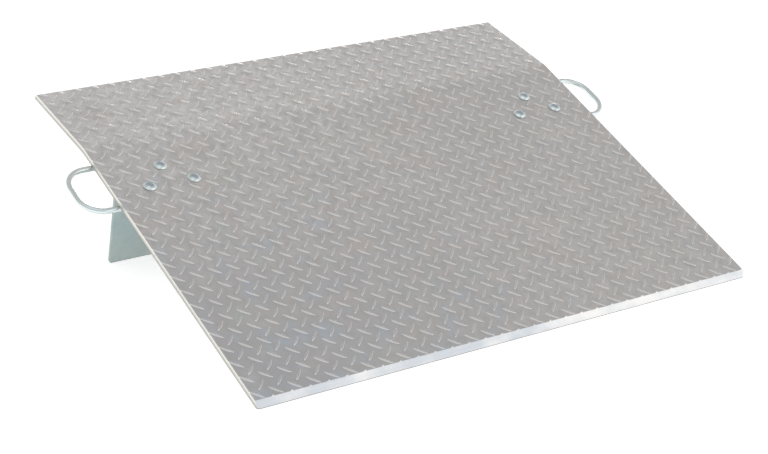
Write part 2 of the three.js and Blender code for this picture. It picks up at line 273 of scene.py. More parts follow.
OUTER_RADIUS = BEND_INNER_RADIUS + THICKNESS
BEND_TANGENT = OUTER_RADIUS * math.tan(BEND / 2)
BEND_LINES = [BEND_TANGENT * (1 - 2 * i / BEND_STRIPS) for i in range(BEND_STRIPS + 1)]
BEVEL_FALL = (THICKNESS - BEVEL_LIP) / BEVEL_LENGTH
# Places of the deck's materials in its list, after the rolled one.
MILLED, SHEARED = 1, 2


def bent(point):
    """A point of the flat sheet (across, rearward, above its top) moved to the bent one."""
    forward, radius = -point.y, OUTER_RADIUS + point.z
    if forward >= BEND_TANGENT:
        return point
    turn = min(1, (BEND_TANGENT - forward) / (2 * BEND_TANGENT)) * BEND
    beyond = max(0, -BEND_TANGENT - forward)
    y = -BEND_TANGENT + radius * math.sin(turn) + beyond * math.cos(BEND)
    z = -OUTER_RADIUS + radius * math.cos(turn) - beyond * math.sin(BEND)
    return Vector((point.x, y, z))


def lugs():
    """Middle, unit direction and half length of each lug on the flat sheet."""
    seats = [bolt_axis(side, bolt) for side, _ in SIDES for bolt in BOLTS]
    seat_radius = HEAD_RADIUS + SEAT_MARGIN
    half = LUG_LENGTH / 2
    overlap = half * math.sqrt(0.5) - LEAST_REACH
    rearmost = BEVEL_LENGTH - FLAP_DEPTH - overlap
    foremost = MAIN_DEPTH - BEVEL_LENGTH + overlap
    rear_row = -math.ceil(FLAP_DEPTH / PERIOD) - 1
    front_row = math.ceil(MAIN_DEPTH / PERIOD) + 1
    for phase_across, phase_forward, lean in LUG_KINDS:
        along = Vector((1, lean)).normalized()
        for row in range(rear_row, front_row):
            forward = (row + phase_forward) * PERIOD
            if not rearmost < forward < foremost:
                continue
            for column in range(-1, PERIODS_ACROSS + 1):
                place = Vector(((column + phase_across) * PERIOD - HALF_WIDTH, -forward))
                if abs(place.x) <= HALF_WIDTH + overlap:
                    yield from clear_of_seats(place, along, half, seats, seat_radius)


def clear_of_seats(place, along, half, seats, seat_radius):
    """The parts of a lug that are left outside the flat seats under the bolt heads."""
    spans = [(-half, half)]
    for seat in seats:
        ahead = (seat - place).dot(along)
        aside = (seat - place - along * ahead).length
        if aside < seat_radius and abs(ahead) < half + seat_radius:
            reach = math.sqrt(seat_radius ** 2 - aside ** 2)
            spans = [
                part
                for low, high in spans
                for part in ((low, min(high, ahead - reach)), (max(low, ahead + reach), high))
            ]
    for low, high in spans:
        if high - low > SHORTEST_LUG:
            yield place + along * (low + high) / 2, along, (high - low) / 2


def station(i):
    """The i-th place along a lug: 1 at the tip it starts from, -1 at the other one."""
    return math.cos(math.pi * i / (LUG_STATIONS + 1))


def lug_ring(place, along, half, ring):
    """One closed ring of points round a lug, from one tip. A lug cut short is narrower."""
    length, width, rise = ring
    across = Vector((-along.y, along.x))
    narrowing = min(1, CUT_LUG_GAIN * half / LUG_LENGTH + CUT_LUG_WIDTH)
    half_width = LUG_WIDTH / 2 * narrowing * width
    stations = [station(i) for i in range(LUG_STATIONS + 2)]
    outline = [(t, half_width * max(0, 1 - t * t) ** LUG_POWER) for t in stations]
    outline += [(t, -w) for t, w in reversed(outline[1:-1])]
    points = []
    for t, w in outline:
        flat = place + along * (t * half * length) + across * w
        points.append(Vector((flat.x, flat.y, LUG_HEIGHT * rise * (1 - RING_FALL * t * t))))
    return points


def tread_sheet():
    """The top surface laid flat and oversize, as one sheet of flat metal and whole lugs."""
    bm = bmesh.new()
    placed = list(lugs())
    rings = [[lug_ring(*lug, ring) for ring in LUG_RINGS] for lug in placed]
    points, outlines = [], []
    for base, *_ in rings:
        outlines.append(list(range(len(points), len(points) + len(base))))
        points += [p.to_2d() for p in base]
    side, rear, front = HALF_WIDTH + PERIOD, FLAP_DEPTH + PERIOD, -MAIN_DEPTH - PERIOD
    border = [(-side, front), (side, front), (side, rear), (-side, rear)]
    outlines.append(list(range(len(points), len(points) + len(border))))
    points += [Vector(p) for p in border]
    made, _, triangles, sources, _, owners = geometry.delaunay_2d_cdt(
        points, [], outlines, FILL_INSIDE, FILL_TOLERANCE
    )
    vertices = [bm.verts.new((p.x, p.y, 0)) for p in made]
    merged = {source: vertices[i] for i, group in enumerate(sources) for source in group}
    lug_count = len(placed)
    for triangle, owner in zip(triangles, owners):
        if all(i >= lug_count for i in owner):
            bm.faces.new([vertices[i] for i in triangle])
    for lug, ring_points, outline in zip(placed, rings, outlines):
        add_lug(bm, lug, ring_points, [merged[i] for i in outline])
    return bm


def add_lug(bm, lug, ring_points, base):
    """The raised faces of one lug on its base outline."""
    place, along, half = lug
    for i, vert in enumerate(base):
        bm.edges.get((base[i - 1], vert)).smooth = False
    loops = [base] + [[bm.verts.new(p) for p in points] for points in ring_points[1:]]
    for lower, upper in zip(loops, loops[1:]):
        for i in range(len(lower)):
            j = (i + 1) % len(lower)
            bm.faces.new((lower[i], lower[j], upper[j], upper[i])).smooth = True
    crest = []
    for i in range(1, LUG_STATIONS + 1):
        t = station(i) * CREST_LENGTH
        flat = place + along * (t * half)
        crest.append(bm.verts.new((flat.x, flat.y, LUG_HEIGHT * (1 - CREST_FALL * t * t))))
    top, last = loops[-1], LUG_STATIONS + 1
    count = len(top)
    roof = [
        (top[0], top[1], crest[0]),
        (top[count - 1], top[0], crest[0]),
        (top[last - 1], top[last], crest[-1]),
        (top[last], top[last + 1], crest[-1]),
    ]
    for i in range(1, LUG_STATIONS):
        roof.append((top[i], top[i + 1], crest[i], crest[i - 1]))
        roof.append((top[count - i], crest[i - 1], crest[i], top[count - i - 1]))
    for corners in roof:
        bm.faces.new(corners).smooth = True


def slice_mesh(bm, point, normal, discard):
    """Cuts along a plane. discard drops what lies beyond it. Gives what the cut made."""
    cut = bmesh.ops.bisect_plane(
        bm,
        geom=bm.verts[:] + bm.edges[:] + bm.faces[:],
        dist=CUT_TOLERANCE,
        plane_co=point,
        plane_no=normal,
        clear_outer=discard,
    )
    return cut["geom_cut"]


def border_chains(bm):
    """The sheet's border as four lists of vertices: front, right, rear and left, counter-clockwise."""
    links = {}
    for edge in bm.edges:
        if edge.is_boundary:
            for vert in edge.verts:
                links.setdefault(vert, []).append(edge.other_vert(vert))
    corners = []
    for sx, sy in ((-1, -1), (1, -1), (1, 1), (-1, 1)):
        corners.append(max(links, key=lambda v: 10 * (sx * v.co.x + sy * v.co.y) - abs(v.co.z)))
    loop = [corners[0]]
    step = max(links[corners[0]], key=lambda v: v.co.x)
    while step is not corners[0]:
        loop.append(step)
        step = next(v for v in links[step] if v is not loop[-2])
    loop.append(corners[0])
    marks = [loop.index(c) for c in corners] + [len(loop) - 1]
    return [loop[a:b + 1] for a, b in zip(marks, marks[1:])]


def spaced(chain, kept=()):
    """Indices along a chain of vertices, about CELL apart, with its ends and the ones kept."""
    marks = [0]
    for i, vert in enumerate(chain[:-1]):
        clear = min((vert.co - chain[marks[-1]].co).length, (vert.co - chain[-1].co).length * 2)
        if i in kept or clear > CELL:
            marks.append(i)
    return marks + [len(chain) - 1]


def flat_face(bm, points, material):
    """A face of one of the deck's other materials."""
    face = bm.faces.new(points)
    face.material_index = material
    return face


def side_edge(bm, chain, sign):
    """The softened edge along one side, whose ends stay on the bevels. Gives its outer vertices."""
    outer = []
    for vert in chain:
        y = vert.co.y
        if vert is chain[0] or vert is chain[-1]:
            y += math.copysign(SIDE_EDGE / BEVEL_FALL, y)
        outer.append(bm.verts.new((sign * HALF_WIDTH, y, vert.co.z - SIDE_EDGE)))
    bridge_rows(bm, chain, outer)
    return outer


def bevel(bm, chain, before, after, end):
    """The bevelled face and lip at one end: -1 is the front, 1 the rear. Gives the lip's two rows.

    before and after are the side edges' vertices next to the ends of the chain.
    """
    depth = MAIN_DEPTH if end < 0 else FLAP_DEPTH
    centre_x, centre_y = HALF_WIDTH - DECK_CORNER, end * (depth - DECK_CORNER)
    corner = list(arc((0, 0), DECK_CORNER, 0, 90, CORNER_STEPS))
    marks = spaced(chain)
    plan = [(end * (centre_x + p.x), centre_y + end * p.y) for p in corner]
    plan += [(chain[m].co.x, end * depth) for m in marks[1:-1]]
    plan += [(-end * (centre_x + p.x), centre_y + end * p.y) for p in reversed(corner)]
    start = depth - BEVEL_LENGTH
    upper = [bm.verts.new((x, y, -BEVEL_FALL * (abs(y) - start))) for x, y in plan]
    lower = [bm.verts.new((x, y, -THICKNESS)) for x, y in plan]
    filled = []
    for k, (a, b) in enumerate(zip(marks, marks[1:])):
        points = chain[a:b + 1]
        foot_start, foot_end = CORNER_STEPS + k, CORNER_STEPS + k + 2
        if k == 0:
            points = [before] + points
            foot_start = 0
        if k == len(marks) - 2:
            points = points + [after]
            foot_end = len(upper)
        filled.append(flat_face(bm, points + upper[foot_start:foot_end][::-1], MILLED))
    bmesh.ops.triangulate(bm, faces=filled)
    for face in bridge_rows(bm, upper, lower):
        face.material_index = SHEARED
    return upper, lower


def side_wall(bm, chain, front, rear, sign):
    """A side wall in short cells. front and rear give the lip's top and foot. Gives the wall's feet."""
    bends = [min(range(len(chain)), key=lambda i: abs(chain[i].co.y + line)) for line in BEND_LINES]
    marks = spaced(chain, bends)
    feet = [bm.verts.new((sign * HALF_WIDTH, chain[m].co.y, -THICKNESS)) for m in marks[1:-1]]
    feet = [front[1]] + feet + [rear[1]]
    filled = []
    for k, (a, b) in enumerate(zip(marks, marks[1:])):
        before = [front[0]] if k == 0 else []
        after = [rear[0]] if k == len(marks) - 2 else []
        points = before + chain[a:b + 1] + after
        filled.append(flat_face(bm, points + [feet[k + 1], feet[k]], SHEARED))
    bmesh.ops.triangulate(bm, faces=filled)
    return feet


def underside(bm, left, right):
    """Triangles between the feet of the two side walls."""
    i = j = 0
    while i < len(left) - 1 or j < len(right) - 1:
        if j == len(right) - 1 or (i < len(left) - 1 and left[i + 1].co.y <= right[j + 1].co.y):
            face = bm.faces.new((left[i], right[j], left[i + 1]))
            i += 1
        else:
            face = bm.faces.new((left[i], right[j], right[j + 1]))
            j += 1
        face.smooth = abs(face.calc_center_median().y) < BEND_TANGENT


def deck_mesh():
    """The deck, built flat and then bent. The attribute height is each point's height when flat."""
    bm = tread_sheet()
    inner = HALF_WIDTH - SIDE_EDGE
    slice_mesh(bm, (-inner, 0, 0), (-1, 0, 0), True)
    slice_mesh(bm, (inner, 0, 0), (1, 0, 0), True)
    slice_mesh(bm, (0, BEVEL_LENGTH - MAIN_DEPTH, 0), (0, -BEVEL_FALL, 1), True)
    slice_mesh(bm, (0, FLAP_DEPTH - BEVEL_LENGTH, 0), (0, BEVEL_FALL, 1), True)
    for line in BEND_LINES:
        slice_mesh(bm, (0, -line, 0), (0, 1, 0), False)
    for face in bm.faces:
        if abs(face.calc_center_median().y) < BEND_TANGENT:
            face.smooth = True
    front, right, rear, left = border_chains(bm)
    right_edge, left_edge = side_edge(bm, right, 1), side_edge(bm, left, -1)
    front_upper, front_lower = bevel(bm, front, left_edge[-1], right_edge[0], -1)
    rear_upper, rear_lower = bevel(bm, rear, right_edge[-1], left_edge[0], 1)
    right_lips = (front_upper[-1], front_lower[-1]), (rear_upper[0], rear_lower[0])
    left_lips = (front_upper[0], front_lower[0]), (rear_upper[-1], rear_lower[-1])
    right_feet = side_wall(bm, right_edge, *right_lips, 1)
    left_feet = side_wall(bm, left_edge[::-1], *left_lips, -1)
    bm.faces.new(front_lower)
    bm.faces.new(rear_lower)
    underside(bm, left_feet, right_feet)

    height = bm.verts.layers.float.new("height")
    for vert in bm.verts:
        vert[height] = vert.co.z
        vert.co = bent(vert.co)
    return bm


# ------------------------------------------------------------------ steel plates


def rounded_outline(width, depth, radius, inset):
    """Counter-clockwise rounded rectangle about the origin, its sides moved in by inset."""
    x, y, r = width / 2 - inset, depth / 2 - inset, radius - inset
    points = []
    for turn, (sx, sy) in enumerate(((1, 1), (-1, 1), (-1, -1), (1, -1))):
        centre = (sx * (x - r), sy * (y - r))
        points += list(arc(centre, r, 90 * turn, 90 * turn + 90, PLATE_CORNER_STEPS))
    return points


def slab(outline, holes, thickness, edge):
    """A plate from Z = 0 to thickness. outline(inset) and holes give rings that follow an inset."""
    bm = bmesh.new()
    levels = [(edge, 0), (edge * EDGE_MIDDLE, edge * EDGE_MIDDLE), (0, edge)]
    levels += [(inset, thickness - z) for inset, z in reversed(levels)]
    loops = []
    for inset, z in levels:
        level = [outline(inset)] + [hole(inset) for hole in holes]
        loops.append([[bm.verts.new((p[0], p[1], z)) for p in ring] for ring in level])
    for lower, upper in zip(loops, loops[1:]):
        for low_ring, high_ring in zip(lower, upper):
            bridge(bm, low_ring, high_ring)
    for level in (loops[0], loops[-1]):
        flat = [vert for ring in level for vert in ring]
        index, rings = 0, []
        for ring in level:
            rings.append(list(range(index, index + len(ring))))
            index += len(ring)
        _, _, triangles, sources, _, owners = geometry.delaunay_2d_cdt(
            [vert.co.to_2d() for vert in flat], [], rings, FILL_INSIDE, FILL_TOLERANCE
        )
        for triangle, owner in zip(triangles, owners):
            if all(i == 0 for i in owner):
                bm.faces.new([flat[sources[i][0]] for i in triangle])
    return bm


def flange_mesh(side):
    """A flat plate against the deck's underside, with three bolt holes."""
    centre = (TO_DECK @ middle(f"{side}_flange_plate")).to_2d()

    def bolt_hole(bolt):
        place = bolt_axis(side, bolt) - centre
        last = 360 - 360 / HOLE_COLUMNS
        return lambda inset: list(arc(place, HOLE_RADIUS + inset, 0, last, HOLE_COLUMNS - 1))

    bm = slab(
        lambda inset: rounded_outline(FLANGE_SIZE[0], FLANGE_SIZE[1], FLANGE_CORNER, inset),
        [bolt_hole(bolt) for bolt in BOLTS],
        FLANGE_SIZE[2],
        PLATE_EDGE,
    )
    bmesh.ops.translate(bm, verts=bm.verts, vec=(centre.x, centre.y, FLANGE_BOTTOM))
    return bm


def leg_place(side):
    """The leg frame in the deck frame: origin where the leg meets the flange, leaning by the bend."""
    centre = TO_DECK @ middle(f"{side}_leg")
    forward = (bolt_axis(side, "rear").y + bolt_axis(side, "front_outer").y) / 2
    return Matrix.Translation((centre.x, forward, FLANGE_BOTTOM)) @ Matrix.Rotation(-BEND, 4, "X")


def leg_mesh(side):
    """A plate that hangs from the flange, its top cut parallel to it."""
    reach = leg_reach(side)

    def outline(inset):
        return rounded_outline(LEG_WIDTH, 2 * reach, LEG_CORNER, inset)

    bm = slab(outline, [], LEG_THICKNESS, PLATE_EDGE)
    upright = Matrix.Translation((0, LEG_THICKNESS / 2, 0)) @ Matrix.Rotation(math.pi / 2, 4, "X")
    bmesh.ops.transform(bm, matrix=upright, verts=bm.verts)
    lean = Matrix.Rotation(BEND, 3, "X")
    cut = slice_mesh(bm, lean @ Vector((0, 0, -JOINT_GAP)), lean @ Vector((0, 0, 1)), True)
    bmesh.ops.edgenet_fill(bm, edges=[part for part in cut if isinstance(part, bmesh.types.BMEdge)])
    bmesh.ops.transform(bm, matrix=leg_place(side), verts=bm.verts)
    return bm


def leg_reach(side):
    """Length of the leg below the flange: its tip is the lowest point of its box."""
    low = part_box(f"{side}_leg")[0]
    frame_to_world = DECK_FRAME @ leg_place(side)
    down = frame_to_world.to_3x3() @ Vector((0, 0, -1))
    heel = frame_to_world.to_3x3() @ Vector((0, LEG_THICKNESS / 2, 0))
    start = frame_to_world.translation.z - abs(heel.z)
    return (start - low.z) / -down.z


# ------------------------------------------------------------------ hand loops


def loop_mesh(side, sign):
    """A round rod bent twice. It starts and ends under the deck, against the flange."""
    low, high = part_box(f"{side}_hand_loop")
    outer = max(abs(low.x), abs(high.x)) - ROD_RADIUS
    inner = min(abs(low.x), abs(high.x))
    centre = TO_DECK @ middle(f"{side}_flange_plate")
    half_span = FLANGE_SIZE[1] / 2 + JOINT_GAP + ROD_RADIUS
    turn = outer - LOOP_BEND_RADIUS
    corner = half_span - LOOP_BEND_RADIUS
    straight = outer - LOOP_STRAIGHT
    path = [(inner, half_span), (inner + ROD_END, half_span), (straight, half_span)]
    path += list(arc((turn, corner), LOOP_BEND_RADIUS, 90, 0, LOOP_BEND_STEPS))
    path += list(arc((turn, -corner), LOOP_BEND_RADIUS, 0, -90, LOOP_BEND_STEPS))
    path += [(straight, -half_span), (inner + ROD_END, -half_span), (inner, -half_span)]
    path = [Vector(p) for p in path]
    bm = bmesh.new()
    rings = []
    for i, point in enumerate(path):
        before, after = path[max(i - 1, 0)], path[min(i + 1, len(path) - 1)]
        normal = (after - before).normalized().orthogonal()
        radius = ROD_RADIUS - (ROD_END if i in (0, len(path) - 1) else 0)
        ring = []
        for k in range(ROD_COLUMNS):
            angle = 2 * math.pi * k / ROD_COLUMNS
            flat = point + normal * (radius * math.cos(angle))
            z = ROD_HEIGHT + radius * math.sin(angle)
            ring.append(bm.verts.new((sign * flat.x, centre.y + flat.y, z)))
        rings.append(ring)
    skin(bm, rings)
    return bm


# ------------------------------------------------------------------ bolts, washers, nuts


def turned(rows, columns, closed=False):
    """A mesh turned about Z. Each row is a function from an angle to (radius, height)."""
    bm = bmesh.new()
    rings = []
    for row in rows:
        ring = []
        for k in range(columns):
            angle = 2 * math.pi * k / columns
            radius, z = row(angle)
            ring.append(bm.verts.new((radius * math.cos(angle), radius * math.sin(angle), z)))
        rings.append(ring)
    skin(bm, rings, closed)
    return bm


def circle(radius, z):
    """A round row for turned()."""
    return lambda angle: (radius, z)


def bolt_mesh():
    """A round-head square-neck bolt, origin under the head, with a rolled thread on its end.

    The attribute crown is 1 at the top of the head and falls to 0 at its rim.
    """
    dome_radius = (HEAD_RADIUS ** 2 + HEAD_DOME ** 2) / (2 * HEAD_DOME)
    dome_angle = math.asin(HEAD_RADIUS / dome_radius)
    rows = []
    for i in range(1, DOME_STEPS + 1):
        angle = dome_angle * i / DOME_STEPS
        fall = dome_radius * (1 - math.cos(angle))
        rows.append(circle(dome_radius * math.sin(angle), HEAD_RIM + HEAD_DOME - fall))
    rows += [circle(HEAD_RADIUS, HEAD_RIM / 2), circle(HEAD_RADIUS - HEAD_UNDERCUT, 0)]

    def square(z):
        return lambda angle: (NECK_HALF / max(abs(math.cos(angle)), abs(math.sin(angle))), z)

    rows += [square(0), square(NECK_TAPER - NECK_DEPTH), circle(BOLT_RADIUS, -NECK_DEPTH)]
    thread_top = THREAD_LENGTH - BOLT_LENGTH

    def thread(z):
        def point(angle):
            wave = abs(2 * ((z / THREAD_PITCH - angle / (2 * math.pi)) % 1) - 1)
            fade = min(1, max(0, (thread_top - z) / THREAD_PITCH))
            groove = THREAD_DEPTH * min(1, max(0, THREAD_GAIN * wave - THREAD_CREST)) * fade
            return min(BOLT_RADIUS - groove, BOLT_RADIUS - BOLT_TIP + (z + BOLT_LENGTH)), z

        return point

    steps = math.ceil(THREAD_LENGTH / THREAD_PITCH * THREAD_STEPS)
    rows += [thread(thread_top - THREAD_LENGTH * i / steps) for i in range(steps + 1)]
    bm = turned(rows, BOLT_COLUMNS)
    crown = bm.verts.layers.float.new("crown")
    for vert in bm.verts:
        if vert.co.z > HEAD_RIM:
            vert[crown] = max(0, 1 - vert.co.to_2d().length / HEAD_RADIUS)
    return bm


def washer_mesh():
    """A flat washer with softened edges, origin in its top face."""
    rows = []
    for radius, way in ((HOLE_RADIUS, 1), (WASHER_RADIUS, -1)):
        ring = [
            circle(radius + way * WASHER_EDGE, 0),
            circle(radius, -WASHER_EDGE),
            circle(radius, WASHER_EDGE - WASHER_THICKNESS),
            circle(radius + way * WASHER_EDGE, -WASHER_THICKNESS),
        ]
        rows += ring if way > 0 else ring[::-1]
    return turned(rows, RING_COLUMNS, closed=True)


def nut_mesh():
    """A hexagonal nut with turned faces and a chamfered bore, origin in its top face."""
    face_radius = NUT_HALF_FLATS * NUT_FACE
    bore_radius = HOLE_RADIUS + NUT_BORE_CHAMFER

    def hexagon(angle):
        return NUT_HALF_FLATS / math.cos((angle % (math.pi / 3)) - math.pi / 6)

    def shoulder(end):
        def point(angle):
            fall = (hexagon(angle) - face_radius) * NUT_CHAMFER_SLOPE
            return hexagon(angle), -fall if end > 0 else fall - NUT_HEIGHT

        return point

    rows = [
        circle(bore_radius, 0),
        circle(face_radius, 0),
        shoulder(1),
        shoulder(-1),
        circle(face_radius, -NUT_HEIGHT),
        circle(bore_radius, -NUT_HEIGHT),
        circle(HOLE_RADIUS, NUT_BORE_CHAMFER - NUT_HEIGHT),
        circle(HOLE_RADIUS, -NUT_BORE_CHAMFER),
    ]
    return turned(rows, RING_COLUMNS, closed=True)


# ------------------------------------------------------------------ weld beads


def weld_mesh(length, radius, start, end, reach=None):
    """A bead along X in the corner at the origin. Its section is a fan between two angles.

    reach(angle) gives the longest that a spoke of the fan may be.
    """
    bm = bmesh.new()
    steps = math.ceil(length / WELD_PITCH * WELD_STEPS)
    rings = []
    for i in range(steps + 1):
        x = length * (i / steps - 0.5)
        beyond = max(0, (abs(x) - length / 2 + radius) / radius)
        size = radius * math.sqrt(max(WELD_END, 1 - beyond ** 2))
        ring = [bm.verts.new((x, 0, 0))]
        for k in range(WELD_SPOKES + 1):
            share = k / WELD_SPOKES
            angle = start + (end - start) * share
            bow = 0.5 * WELD_PITCH * (1 - (2 * share - 1) ** 2)
            ripple = ((x + bow) / WELD_PITCH) % 1
            swell = math.sin(math.pi * (WELD_TOE + (1 - 2 * WELD_TOE) * share))
            spoke = size * (1 - WELD_RIPPLE * ripple * swell)
            if reach is not None:
                spoke = min(spoke, reach(angle))
            ring.append(bm.verts.new((x, spoke * math.cos(angle), spoke * math.sin(angle))))
        rings.append(ring)
    skin(bm, rings)
    return bm


def leg_weld_mesh(side, face):
    """face is -1 for the front of the leg and 1 for its rear."""
    low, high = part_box(f"{side}_leg_front_weld")
    if face < 0:
        along_flange, along_leg = math.pi, 1.5 * math.pi - BEND
    else:
        along_flange, along_leg = 0, -0.5 * math.pi - BEND
    bm = weld_mesh(high.x - low.x, LEG_WELD_RADIUS, along_flange, along_leg)
    clear = Vector((0, face * (LEG_THICKNESS / 2 + JOINT_GAP), -JOINT_GAP))
    bmesh.ops.translate(bm, verts=bm.verts, vec=leg_place(side).translation + clear)
    return bm


def loop_weld_mesh(side, end):
    """end is -1 for the bar at the front of the flange and 1 for the bar at its rear."""
    name = f"{side}_loop_{'front' if end < 0 else 'rear'}_weld"
    low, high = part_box(name)
    rod = Vector((end * (JOINT_GAP + ROD_RADIUS), ROD_HEIGHT - FLANGE_BOTTOM + JOINT_GAP))

    def reach(angle):
        """Distance along a spoke to the rod, less the gap."""
        way = Vector((math.cos(angle), math.sin(angle)))
        near = way.dot(rod)
        miss = (ROD_RADIUS + JOINT_GAP) ** 2 - (rod.length_squared - near ** 2)
        return near - math.sqrt(miss) if miss > 0 and near > 0 else LOOP_WELD_RADIUS

    if end < 0:
        inboard, bar_side = 0, LOOP_WELD_LEAN - math.pi
    else:
        inboard, bar_side = -math.pi, -LOOP_WELD_LEAN
    bm = weld_mesh(high.x - low.x, LOOP_WELD_RADIUS, inboard, bar_side, reach)
    flange = TO_DECK @ middle(f"{side}_flange_plate")
    edge = flange.y + end * FLANGE_SIZE[1] / 2
    notch = Vector(((low.x + high.x) / 2, edge, FLANGE_BOTTOM - JOINT_GAP))
    bmesh.ops.translate(bm, verts=bm.verts, vec=notch)
    return bm


# ------------------------------------------------------------------ material nodes


def feed(socket, value):
    """Links an output to the socket, or sets a plain value on it."""
    if isinstance(value, bpy.types.NodeSocket):
        socket.id_data.links.new(value, socket)
    else:
        socket.default_value = value


class Surface:
    """A material with a Principled shader and short ways to add nodes in front of it.

    place is a point of the object turned so that the main face lies level.
    """

    def __init__(self, name, **values):
        self.material = bpy.data.materials.new(name)
        self.material.use_nodes = True
        self.tree = self.material.node_tree
        self.shader = self.tree.nodes["Principled BSDF"]
        place = self.node("ShaderNodeTexCoord").outputs["Object"]
        mapping = self.node("ShaderNodeMapping", Vector=place)
        mapping.inputs["Rotation"].default_value = (-SLOPE, 0, 0)
        self.place = mapping.outputs["Vector"]
        for key, value in values.items():
            self.shader.inputs[key.replace("_", " ")].default_value = value

    def node(self, kind, settings=None, **inputs):
        """Adds a node. An underscore in an input's name stands for a space."""
        node = self.tree.nodes.new(kind)
        for key, value in (settings or {}).items():
            setattr(node, key, value)
        for key, value in inputs.items():
            feed(node.inputs[key.replace("_", " ")], value)
        return node

    def stretched(self, scale):
        """The place scaled along each axis; a small scale stretches a pattern."""
        mapping = self.node("ShaderNodeMapping", Vector=self.place, Scale=scale)
        return mapping.outputs["Vector"]

    def moved(self, offset):
        mapping = self.node("ShaderNodeMapping", Vector=self.place, Location=offset)
        return mapping.outputs["Vector"]

    def away(self, point):
        """Distance from a point of the deck frame."""
        node = self.node("ShaderNodeVectorMath", {"operation": "DISTANCE"})
        feed(node.inputs[0], self.place)
        feed(node.inputs[1], TURN.inverted() @ DECK_FRAME @ Vector(point))
        return node.outputs["Value"]

    def wandering(self, scale, size):
        """The place shifted by up to about size, so that patches get ragged outlines."""
        drift = self.node("ShaderNodeTexNoise", Vector=self.place, Scale=scale).outputs["Color"]
        shift = self.node("ShaderNodeVectorMath", {"operation": "SCALE"}, Vector=drift, Scale=size)
        add = self.node("ShaderNodeVectorMath", {"operation": "ADD"})
        feed(add.inputs[0], self.place)
        feed(add.inputs[1], shift.outputs["Vector"])
        return add.outputs["Vector"]

    def noise(self, scale, detail=3, place=None, roughness=0.5):
        """Fractal noise; scale is in features per metre."""
        node = self.node("ShaderNodeTexNoise", Vector=place or self.place, Scale=scale, Detail=detail)
        node.inputs["Roughness"].default_value = roughness
        return node.outputs["Fac"]

    def cells(self, scale):
        node = self.node("ShaderNodeTexVoronoi", Vector=self.place, Scale=scale)
        return node.outputs["Distance"]

    def ranged(self, value, low, high, out_low, out_high):
        """Takes low..high to out_low..out_high and holds the ends."""
        limits = {"From_Min": low, "From_Max": high, "To_Min": out_low, "To_Max": out_high}
        return self.node("ShaderNodeMapRange", Value=value, **limits).outputs["Result"]

    def math(self, operation, first, second):
        node = self.node("ShaderNodeMath", {"operation": operation})
        feed(node.inputs[0], first)
        feed(node.inputs[1], second)
        return node.outputs["Value"]

    def mix(self, factor, first, second):
        """The first colour where factor is 0 and the second where it is 1."""
        node = self.node("ShaderNodeMix", {"data_type": "RGBA"}, Factor=factor)
        inputs = [socket for socket in node.inputs if socket.type == "RGBA"]
        for socket, value in zip(inputs, (first, second)):
            feed(socket, value)
        return next(socket for socket in node.outputs if socket.type == "RGBA")

    def laid_over(self, base, value, low, high, amount, colour):
        """base with up to amount of a colour over it, as value goes from low to high."""
        return self.mix(self.ranged(value, low, high, 0, amount), base, colour)

    def attribute(self, name):
        return self.node("ShaderNodeAttribute", {"attribute_name": name}).outputs["Fac"]

    def bump(self, height, distance, strength, below=None):
        """A normal bumped by height, on top of another one where below is given."""
        node = self.node("ShaderNodeBump", Height=height, Distance=distance, Strength=strength)
        if below is not None:
            feed(node.inputs["Normal"], below)
        return node.outputs["Normal"]

    def finish(self, colour, roughness, normal):
        """Feeds the shader and gives the material."""
        for key, value in (("Base Color", colour), ("Roughness", roughness), ("Normal", normal)):
            feed(self.shader.inputs[key], value)
        return self.material


def grey(value, warmth=0.0):
    """A linear colour near a grey; positive warmth leans to red, negative to blue."""
    return (value * (1 + warmth), value, value * (1 - warmth), 1)


# Heights above the flat sheet where a painted highlight brightens a lug's flank and fades on its crest.
LUG_FLANK = (0.0001, 0.0006)
LUG_CREST = (0.0009, 0.0014)

# Points of the deck frame: the front left corner, which a painted reflection makes darker and bluer,
# and the middle of a painted highlight, a brighter patch on the rear flap.
PAINTED_REFLECTION_CORNER = (-HALF_WIDTH, -MAIN_DEPTH, 0)
PAINTED_HIGHLIGHT_PATCH = (-0.30, 0.09, 0)

# Heights on a sheared edge, below the deck's top, where the burnished band turns into the torn
# one and where the dark foot starts.
TORN_BAND = (-0.0042, -0.0052)
DARK_FOOT = (-0.0083, -0.0087)


